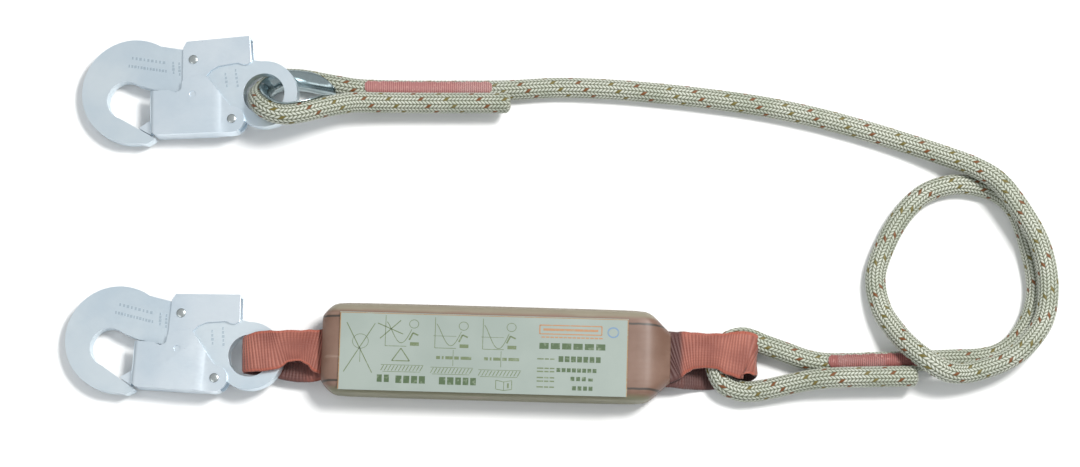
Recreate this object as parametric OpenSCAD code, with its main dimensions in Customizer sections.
// Shock absorbing lanyard: a braided rope with a snap hook on a steel thimble at one end,
// and an energy absorber pack with a second snap hook at the other, all lying on a table.
// X runs along the pack away from the hooks, Y runs from the pack to the upper hook, Z is up.
// A hook's own frame has its eye's centre at the origin, the bow towards -X and the lever at +Y.

/* [Hook body] */
// Thickness of the forged hook plate
plate_t = 8; // [7:0.5:9]
// Inner radius of the eye
eye_r = 12; // [11.5:0.5:12.5]
// Outer radius of the eye
eye_out_r = 19.3; // [18.5:0.1:20]
// Inner radius of the bow, where the anchor sits
seat_r = 11.2; // [10.6:0.1:11.4]
// Outer radius of the bow
bow_r = 30.6; // [30:0.1:31]

/* [Gate and lever] */
// Thickness of the pressed sheet
sheet_t = 1.5; // [1.2:0.1:1.6]
// Gap between the plate and a pressed flange
flange_gap = 0.15; // [0.1:0.05:0.2]
// Radius of both rivets' shanks
rivet_r = 2; // [1.8:0.1:2.2]
// Radius of both rivets' heads
rivet_head_r = 2.65; // [2.5:0.05:2.8]

/* [Rope] */
// Diameter of the braided rope
rope_d = 12; // [11.8:0.1:12]
// Wall of the steel thimble
thimble_t = 1; // [0.8:0.1:1]

/* [Energy absorber] */
// Length of the pack
pack_l = 198; // [194:1:202]
// Width of the pack
pack_w = 52.5; // [51:0.5:54]
// Height of the pack
pack_h = 26; // [25.5:0.5:26.5]
// Wall of the clear cover
cover_t = 1.2; // [0.8:0.1:1.4]
// Thickness of one ply of webbing
web_t = 1.8; // [1.6:0.1:1.9]

/* [Hidden] */
$fn = 64;
HOOK_PARTS = ["hook_body", "gate", "gate_rivet", "gate_spring", "lever", "lever_rivet", "lever_spring"];

// Middle of the part's footprint without the rope, which becomes the origin
middle = [-0.15, -1.55, 0];

zinc = "#c9d6dc";
braid = "#dfe0d2";
red_web = "#b5604f";
thread = "#b85f66";

// Where each hook's eye lies, its turn on the table, and how far its eye end is lifted
upper_eye = [-84.2, 70.6, 16.4];
upper_yaw = 1;
upper_pitch = 6.7;
lower_eye = [-90.5, -81, 13.3];
lower_yaw = -4.4;
lower_pitch = 5;

// Layers of the pressed sheets, measured from the plate's middle plane
low_in = plate_t / 2 + flange_gap;
low_out = low_in + sheet_t;
high_in = low_out + flange_gap;
high_out = high_in + sheet_t;

bow_c = [-76.2, 4.6];
seat_c = [-80.8, -0.3];
gate_pivot = [-18.5, -14.2];
lever_pivot = [-41, 21.7];
lobe_r = 6;
gate_lobe_r = 7.3;
gate_front = -66.2;
gate_foot = -22;
spring_slot = 3.8;
wire_r = 0.5;
coil_r = 3.5;

// Where the pack lies
pack_c = [49, -79.3, 0];
pack_yaw = -1.6;
mouth_z = pack_h / 2;

rope_r = rope_d / 2;

// The rope's middle line from one cut end to the other. First the upper splice's short leg,
// which lies on the long one, then the eye round the thimble, through the upper hook.
UPPER_TAIL = [[57, 66.5, 14.6], [38, 66.5, 14.6], [19, 66.5, 14.6], [0, 66.5, 14.8],
    [-18, 66.4, 16], [-32, 66, 18.4], [-42, 63.8, 21.8]];
UPPER_EYE = [[-52, 60.8, 25.8], [-62.5, 57.6, 29], [-71, 56.3, 30], [-78.4, 57.6, 29.8],
    [-84.4, 61.4, 27.4], [-87.6, 66.4, 22], [-88.2, 70.4, 16], [-87.2, 73.8, 10.4],
    [-83.6, 78.4, 6.2], [-77, 82.4, 6], [-68.5, 82.8, 6], [-60.5, 81.8, 6.8], [-51, 79.6, 8.3]];
UPPER_LEG = [[-42, 77.6, 9.9], [-32, 76, 9.6], [-18, 75.7, 8], [0, 75.7, 6.8], [25, 75.7, 6.6]];
// The long run to the right and the single turn, whose outer side lies on its inner side
LONG_RUN = [[55, 75.9, 6.6], [85, 77.5, 6], [115, 76.5, 6], [145, 74, 6], [175, 70.5, 6], [205, 66, 6],
    [235, 59.5, 6], [262, 52, 6], [285, 44.5, 7], [305, 37, 10], [324, 28.5, 14.5]];
OUTER_TURN = [[338, 18, 17.8], [352, -2.5, 18.2], [360, -20, 17.6], [363, -40, 17.3],
    [360, -60, 16.6], [349, -75.5, 17], [338, -83.5, 17], [325, -88.5, 16.6], [313.5, -91, 17],
    [303.5, -90.3, 20], [293.5, -85, 22.8], [283.5, -76, 18.6], [276, -66, 13]];
INNER_TURN = [[268.5, -52, 8], [266, -33.5, 6], [272.5, -14, 6], [282.5, 3, 6], [295, 14.8, 6],
    [310, 20, 6], [325, 19.5, 6], [339, 14, 6], [348.5, 3, 6], [354.5, -16, 6], [358, -37, 6],
    [355.5, -54, 6], [347, -69, 6], [337, -77.3, 6], [325, -80.8, 6], [308, -81.6, 6]];
// The lower splice's long leg, the bare eye round the webbing, and the short leg on top
LOWER_LEG = [[290, -82.3, 6.4], [265, -83.2, 6.6], [241, -83.8, 6.6], [227, -82.2, 7],
    [214, -77.8, 7.8], [202.5, -73.8, 8.4]];
LOWER_EYE = [[189, -69.2, 8.6], [178.3, -73.8, 8.6], [173.8, -84.7, 8.6], [178.3, -95.6, 8.6],
    [189, -100.2, 8.6], [201, -99.4, 9]];
LOWER_TAIL = [[214, -96.8, 10.8], [227, -94.4, 13], [241, -93.3, 14.6], [265, -92.7, 14.6],
    [288, -92.4, 14.4]];
ROUTE = concat(UPPER_TAIL, UPPER_EYE, UPPER_LEG, LONG_RUN, OUTER_TURN, INNER_TURN,
    LOWER_LEG, LOWER_EYE, LOWER_TAIL);
UPPER_LOOP_MIDDLE = [-62, 70, 17];

// Sweeping: rings of points joined into one closed tube

function unit(v) = v / norm(v);

function tangent(path, i) = unit(path[min(i + 1, len(path) - 1)] - path[max(i - 1, 0)]);

// A side direction square to the path, as near as can be to the one asked for
function side(t, want) = unit(want - (want * t) * t);

function ring(p, t, n, section) =
    let (b = cross(t, n))
    [for (s = section) p + s[0] * n + s[1] * b];

function flat_list(lists) = [for (l = lists) for (e = l) e];

module tube(rings) {
    sides = len(rings[0]);
    last = (len(rings) - 1) * sides;
    points = flat_list(rings);
    walls = [for (r = [0 : len(rings) - 2]) for (k = [0 : sides - 1])
        let (a = r * sides + k, b = r * sides + (k + 1) % sides)
        each [[a, b, b + sides], [a, b + sides, a + sides]]];
    // Each end is closed by a strip of four-sided faces, which also suits a bent section
    caps = [for (k = [0 : sides / 2 - 2])
        let (a = k, b = k + 1, c = sides - 2 - k, d = sides - 1 - k)
        each [[d, c, b, a], [last + a, last + b, last + c, last + d]]];
    polyhedron(points = points, faces = concat(walls, caps), convexity = 10);
}

function round_section(r, sides) =
    [for (k = [0 : sides - 1]) r * [cos(360 * k / sides), sin(360 * k / sides)]];

// A shell that covers an arc of a round rope, centred on the side direction
function arc_section(r_in, r_out, half_angle, steps) = concat(
    [for (k = [0 : steps]) let (a = -half_angle + 2 * half_angle * k / steps)
        r_out * [cos(a), sin(a)]],
    [for (k = [steps : -1 : 0]) let (a = -half_angle + 2 * half_angle * k / steps)
        r_in * [cos(a), sin(a)]]);

module sweep_towards(path, section, target) {
    tube([for (i = [0 : len(path) - 1])
        let (t = tangent(path, i))
        ring(path[i], t, side(t, target - path[i]), section)]);
}

module sweep_along(path, section, want) {
    tube([for (i = [0 : len(path) - 1])
        let (t = tangent(path, i))
        ring(path[i], t, side(t, want), section)]);
}

// Snap hook, in its own frame

// A flat shape given a thickness, half of it on each side of the plate's middle plane
module slab(h) {
    translate([0, 0, -h / 2]) linear_extrude(h) children();
}

// The forging before it is pierced: bow, eye, gate lobe, back and nose
module hook_blank() {
    slab(plate_t) translate(bow_c) circle(bow_r);
    slab(plate_t) circle(eye_out_r);
    slab(plate_t) translate(gate_pivot) circle(lobe_r);
    slab(plate_t) polygon([[-70, 32.7], [3, 18.4], [0, 0], [-14, -18], [-23, -18.3], [-28, -13.6],
        [-44, -4], [-58, -2], [-70, -8]]);
    slab(plate_t) polygon([[-82, -24.2], [-68.5, -26.5], [-64.6, -24.4], [-63.2, -22.2],
        [-74, -14]]);
}

// The eye, the seat, and the way in to the seat behind the nose
module hook_openings() {
    through = 2 * plate_t;
    slab(through) circle(eye_r);
    slab(through) translate(seat_c) circle(seat_r);
    slab(through) polygon([[-80, 10.6], [-64, 5.2], [-55, 3.7], [-48, 3.2], [-37, -3],
        [-27, -13.9], [-30, -45], [-58, -45], [-61, -25], [-86.6, -9.6], [-88, -5]]);
    for (pivot = [gate_pivot, lever_pivot])
        slab(through) translate(pivot) circle(rivet_r);
}

// A slot inside the plate for a torsion spring's coil and its leg
module spring_pocket(pivot, r, leg_corner, leg_size) {
    translate([pivot[0], pivot[1], -spring_slot / 2]) {
        cylinder(r = r, h = spring_slot);
        translate([leg_corner[0], leg_corner[1], 0]) cube([leg_size[0], leg_size[1], spring_slot]);
    }
}

module hook_body() {
    color(zinc) difference() {
        hook_blank();
        hook_openings();
        spring_pocket(gate_pivot, 5, [-13, -7], [13, 12]);
        spring_pocket(lever_pivot, 6, [-4, 0], [14, 12]);
    }
}

module gate_outline() {
    polygon([[gate_front, 4], [-55, 3.9], [-53, 3], [-51, 2.5], [-49, 3], [-47.6, 4.4],
        [-47.2, 8.6], [-44, 10.7], [-39, 11.7], [-34.2, 11.9], [-32.4, 10.8], [-23.5, -1.3],
        [-19.4, -6.2], [-14.4, -9.4], [-16, gate_foot + 0.6], [-19, gate_foot],
        [-63.2, gate_foot], [gate_front, -19.8]]);
    translate(gate_pivot) circle(gate_lobe_r);
}

// Half the width of the gate's channel along its length: curled in front, joggled at the pivot
function gate_profile(front, curl, high, low, ramp) = [
    [front, curl], [front + 0.8, curl + 1.2], [front + 2.8, high], [ramp, high],
    [ramp + 4.4, low], [0, low], [0, -low], [ramp + 4.4, -low], [ramp, -high],
    [front + 2.8, -high], [front + 0.8, -curl - 1.2], [front, -curl]];

module gate_channel(profile, top, bottom) {
    translate([0, top, 0]) rotate([90, 0, 0]) linear_extrude(top - bottom) polygon(profile);
}

// Lock lugs pressed inwards from both flanges
lug = [-41, 1];
lug_r = 1.9;
lug_h = 1.6;
module lock_lugs() {
    for (s = [-1, 1])
        translate([lug[0], lug[1], s * (low_in + 0.25) - (s < 0 ? lug_h : 0)])
            cylinder(r = lug_r, h = lug_h);
}

module gate() {
    hook_top = 20;
    closed_top = -12.2;
    cavity_front = -63.6;
    tongue_h = 6;
    dimple_depth = 0.7;
    pin_gap = 0.06;
    color(zinc) difference() {
        union() {
            intersection() {
                translate([0, 0, -high_out]) linear_extrude(2 * high_out) gate_outline();
                gate_channel(gate_profile(gate_front, high_out - 1.9, high_out, low_out, -29.6),
                    hook_top, gate_foot);
            }
            // The tongue that nests behind the nose
            translate([0, 0, -tongue_h / 2]) linear_extrude(tongue_h)
                polygon([[gate_front, closed_top], [-73.4, -16.9], [gate_front, -21.3]]);
            lock_lugs();
        }
        difference() {
            intersection() {
                gate_channel(gate_profile(gate_front - 0.2, low_in, high_in, low_in, -30.3),
                    hook_top, gate_foot + sheet_t);
                translate([0, 0, -high_out]) linear_extrude(2 * high_out)
                    polygon([[gate_front - 1, hook_top], [gate_front - 1, closed_top],
                        [cavity_front, closed_top], [cavity_front, gate_foot], [0, gate_foot],
                        [0, hook_top]]);
            }
            lock_lugs();
        }
        translate([gate_pivot[0], gate_pivot[1], -plate_t])
            cylinder(r = rivet_r + pin_gap, h = 2 * plate_t);
        // Dimples outside, where the lugs are pressed through
        for (s = [-1, 1])
            translate([lug[0], lug[1], s * high_out - dimple_depth])
                cylinder(r = lug_r, h = 2 * dimple_depth);
    }
}

module lever() {
    color(zinc) difference() {
        translate([0, 0, -low_out]) linear_extrude(2 * low_out)
            polygon([[-47.4, 3.4], [-43.8, 3.4], [-43.8, 10.5], [-34.4, 10.5], [-33.2, 11.9],
                [-30.4, 15], [-26, 17.2], [-14.8, 18.6], [-11.6, 17.4], [-9.2, 17.4],
                [-7.3, 18.8], [-6.9, 21], [-7.8, 34.4], [-45, 32.6], [-47, 29]]);
        translate([0, 0, -low_in]) linear_extrude(2 * low_in)
            polygon([[-50, 0], [0, 0], [0, 33.2], [-7.8, 32.9], [-45.2, 31.1], [-50, 26.4]]);
        translate([lever_pivot[0], lever_pivot[1], -plate_t])
            cylinder(r = rivet_r + 0.06, h = 2 * plate_t);
    }
}

// A rivet through both flanges, with a domed head on each side
module rivet(pivot) {
    head_z = low_out + 0.05;
    dome = 1.1;
    color("silver") translate([pivot[0], pivot[1], 0]) rotate_extrude()
        polygon(concat([[0, -head_z - dome]],
            [for (a = [75 : -15 : 0])
                [rivet_head_r * cos(a), -head_z - 0.3 - (dome - 0.3) * sin(a)]],
            [[rivet_head_r, -head_z], [rivet_r - 0.02, -head_z], [rivet_r - 0.02, head_z],
             [rivet_head_r, head_z]],
            [for (a = [0 : 15 : 75]) [rivet_head_r * cos(a), head_z + 0.3 + (dome - 0.3) * sin(a)]],
            [[0, head_z + dome]]));
}

// A torsion spring round a rivet: two and a half coils with a leg at each end
module torsion_spring(pivot, first_leg, last_leg, start) {
    turns = 2.5;
    pitch = 1.15;
    steps = 12 * turns;
    coil = [for (k = [0 : steps])
        let (a = start - 360 * k / 12)
        [pivot[0] + coil_r * cos(a), pivot[1] + coil_r * sin(a), (k / 12 - turns / 2) * pitch]];
    path = concat([first_leg], coil, [last_leg]);
    color("dimgray") sweep_along(path, round_section(wire_r, 8), [0.02, 0.01, 1]);
}

module hook_part(part) {
    if (part == "hook_body") hook_body();
    if (part == "gate") gate();
    if (part == "gate_rivet") rivet(gate_pivot);
    if (part == "gate_spring")
        torsion_spring(gate_pivot, [-28.5, -9.7, -1.4], [-30.5, -19.2, 1.4], 90);
    if (part == "lever") lever();
    if (part == "lever_rivet") rivet(lever_pivot);
    if (part == "lever_spring")
        torsion_spring(lever_pivot, [-33.2, 30.6, -1.4], [-45.5, 19.4, 1.4], 130);
}

module place_hook(eye, yaw, pitch) {
    translate(eye) rotate([0, 0, yaw]) rotate([0, -pitch, 0]) children();
}

// Rope, splices and thimble

module thimble() {
    path = concat([UPPER_TAIL[6]], UPPER_EYE, [UPPER_LEG[0]]);
    color("#b9c4c8") sweep_towards(path,
        arc_section(rope_r, rope_r + thimble_t, 75, 8), UPPER_LOOP_MIDDLE);
}

module rope() {
    color(braid) sweep_along(ROUTE, round_section(rope_r - 0.1, 10), [0.001, 0.002, 1]);
}

function between(path, x_low, x_high) = [for (p = path) if (p[0] >= x_low && p[0] <= x_high) p];

// A band of zigzag stitching over the long leg, beside the short one
module stitching(path, want) {
    color(thread) sweep_along(path, arc_section(rope_r - 0.05, rope_r + 0.5, 38, 5), want);
}

module upper_stitching() {
    stitching(concat([[-28, 75.9, 9.2]], between(UPPER_LEG, -20, 30), [[46, 75.8, 6.6]]),
        [0, 0.3, 1]);
}

module lower_stitching() {
    stitching([[239, -83.8, 6.6], [265, -83.2, 6.6], [276, -82.8, 6.5]], [0, 0.3, 1]);
}

// Clear film shrunk over both legs of a splice
module sleeve(x_low, x_high, low_leg, high_leg) {
    wall = 0.35;
    clear = 0.85;
    lift = 0.7;
    module legs(r, x, run) {
        hull() for (leg = [low_leg, high_leg])
            translate([x, leg[0], leg[1] + lift]) rotate([0, 90, 0])
                cylinder(r = r, h = run, $fn = 32);
    }
    color("#d8dde0", 0.4) difference() {
        legs(rope_r + clear + wall, x_low, x_high - x_low);
        legs(rope_r + clear, x_low - 1, x_high - x_low + 2);
    }
}

module upper_sleeve() {
    sleeve(4, 54, [75.8, 6.6], [66.5, 14.6]);
}

module lower_sleeve() {
    sleeve(243, 270, [-83.4, 6.6], [-93, 14.6]);
}

// Energy absorber, in the pack's own frame

module in_pack() {
    translate(pack_c) rotate([0, 0, pack_yaw]) children();
}

// A pack-shaped solid, smaller all round by the inset
module pack_solid(inset) {
    half_l = pack_l / 2 - inset;
    half_w = pack_w / 2 - inset;
    corner = 12;
    left_corner = 7;
    edge_r = 6 - inset;
    intersection() {
        linear_extrude(pack_h)
            polygon([[-half_l, half_w - left_corner], [-half_l + left_corner, half_w],
                [half_l - corner, half_w], [half_l, half_w - corner],
                [half_l, corner - half_w], [half_l - corner, -half_w],
                [left_corner - half_l, -half_w], [-half_l, left_corner - half_w]]);
        translate([-half_l, 0, inset]) rotate([90, 0, 90]) linear_extrude(2 * half_l) union() {
            translate([-half_w + edge_r, 0])
                square([2 * (half_w - edge_r), pack_h - 2 * inset]);
            translate([-half_w, edge_r])
                square([2 * half_w, pack_h - 2 * inset - 2 * edge_r]);
            for (y = [-1, 1]) for (z = [edge_r, pack_h - 2 * inset - edge_r])
                translate([y * (half_w - edge_r), z]) circle(edge_r);
        }
    }
}

module absorber_cover() {
    mouth_w = 33;
    mouth_h = 9;
    color("#c8a8a0", 0.5) in_pack() difference() {
        pack_solid(0);
        pack_solid(cover_t);
        translate([-pack_l, -mouth_w / 2, mouth_z - mouth_h / 2])
            cube([2 * pack_l, mouth_w, mouth_h]);
    }
}

label_l = 163;
label_w = 44.5;
label_t = 0.4;
module absorber_label() {
    color("#cfd8cc") in_pack() translate([-7 - label_l / 2, -2.4 - label_w / 2, pack_h])
        cube([label_l, label_w, label_t]);
}

// The tear webbing: one strap folded to and fro in a stack
core_l = 168;
core_w = 45;
core_plies = 10;
core_pitch = 2.3;
module tear_webbing() {
    core_z = (pack_h - core_plies * core_pitch) / 2;
    color(red_web) in_pack() translate([0, core_w / 2, core_z]) rotate([90, 0, 0])
        linear_extrude(core_w) union() {
            for (k = [0 : core_plies - 1])
                translate([-core_l / 2 + core_pitch, k * core_pitch + (core_pitch - web_t) / 2])
                    square([core_l - 2 * core_pitch, web_t]);
            // Each fold joins a ply to the next one at alternate ends
            for (k = [0 : core_plies - 2])
                translate([(k % 2 == 0 ? 1 : -1) * (core_l / 2 - core_pitch), (k + 1) * core_pitch])
                    difference() {
                        circle((core_pitch + web_t) / 2, $fn = 32);
                        circle((core_pitch - web_t) / 2, $fn = 32);
                        translate([k % 2 == 0 ? -9 : 0, -5]) square([9, 10]);
                    }
        }
}

// Rows of tear stitching along both sides of the folded strap, seen as raised threads on its top ply
module tear_stitching() {
    rows = [-17, 17];
    stitch_l = 5;
    stitch_gap = 3;
    top_z = (pack_h + core_plies * core_pitch) / 2 - (core_pitch - web_t) / 2;
    color(thread) in_pack() for (y = rows)
        for (x = [-core_l / 2 + 12 : stitch_l + stitch_gap : core_l / 2 - 16])
            translate([x, y - 0.4, top_z]) cube([stitch_l, 0.8, 0.4]);
}

// Half a turn from the top of a fold to its foot, on the side away from the pack
function fold_arc(centre, r, away) =
    [for (a = [0 : 10 : 180]) [centre[0] + away * r * sin(a), centre[1] + r * cos(a)]];

// A webbing loop seen from the side: a flat ring of one ply, sewn together inside the mouth
module loop_profile(fold, fold_r, mouth_x, straight) {
    away = fold[0] < mouth_x ? -1 : 1;
    sewn_l = 15.5;
    slit = 0.1;
    inner_r = fold_r - web_t;
    difference() {
        polygon(concat(fold_arc(fold, fold_r, away),
            [[straight, fold[1] - fold_r], [mouth_x, mouth_z - web_t],
             [mouth_x - away * sewn_l, mouth_z - web_t], [mouth_x - away * sewn_l, mouth_z + web_t],
             [mouth_x, mouth_z + web_t], [straight, fold[1] + fold_r]]));
        polygon(concat(fold_arc(fold, inner_r, away),
            [[straight, fold[1] - inner_r], [mouth_x + away, mouth_z - slit],
             [mouth_x + away, mouth_z + slit], [straight, fold[1] + inner_r]]));
    }
}

// Through the lower hook's eye, on the left
left_fold = [-88.2, 14.5];
left_fold_r = 6.9;
module left_loop() {
    color(red_web) intersection() {
        translate([0, -40, 0]) rotate([90, 0, 0]) linear_extrude(80)
            loop_profile(left_fold, left_fold_r, -50, -66);
        translate([0, -80.6, 0]) linear_extrude(60)
            polygon([[-97, 9.8], [-84, 9.8], [-76, 12.5], [-66, 13.5], [-30, 13.5], [-30, -13.5],
                [-66, -13.5], [-76, -12.5], [-84, -9.8], [-97, -9.8]]);
    }
}

// Round the rope's eye, on the right
right_fold = [188, 8.55];
right_fold_r = 8.4;
module right_loop() {
    color(red_web) intersection() {
        translate([0, -40, 0]) rotate([90, 0, 0]) linear_extrude(90)
            loop_profile(right_fold, right_fold_r, 148, 165);
        translate([0, -82, 0]) linear_extrude(60)
            polygon([[130, 14], [188.5, 14], [191, 2.3], [198, 2.3], [198, -8.5], [191, -8.5],
                [188.5, -14], [130, -14]]);
    }
}

// Bar tacks that close each loop beside the pack
module bar_tacks(x, y, run, count) {
    spread = 22;
    color(thread) in_pack() for (k = [0 : count - 1])
        translate([x, y - spread / 2 + k * spread / (count - 1) - 0.6, mouth_z + web_t])
            cube([run, 1.2, 0.5]);
}

module left_bar_tacks() {
    bar_tacks(-97, 0, 10, 4);
}

module right_bar_tacks() {
    bar_tacks(87, 0, 10, 4);
}

module centred() {
    translate(-middle) children();
}

for (p = HOOK_PARTS) {
    centred() place_hook(upper_eye, upper_yaw, upper_pitch) hook_part(p);
    centred() place_hook(lower_eye, lower_yaw, lower_pitch) hook_part(p);
}
centred() thimble();
centred() rope();
centred() upper_stitching();
centred() lower_stitching();
centred() upper_sleeve();
centred() lower_sleeve();
centred() absorber_cover();
centred() absorber_label();
centred() tear_webbing();
centred() tear_stitching();
centred() left_loop();
centred() right_loop();
centred() left_bar_tacks();
centred() right_bar_tacks();
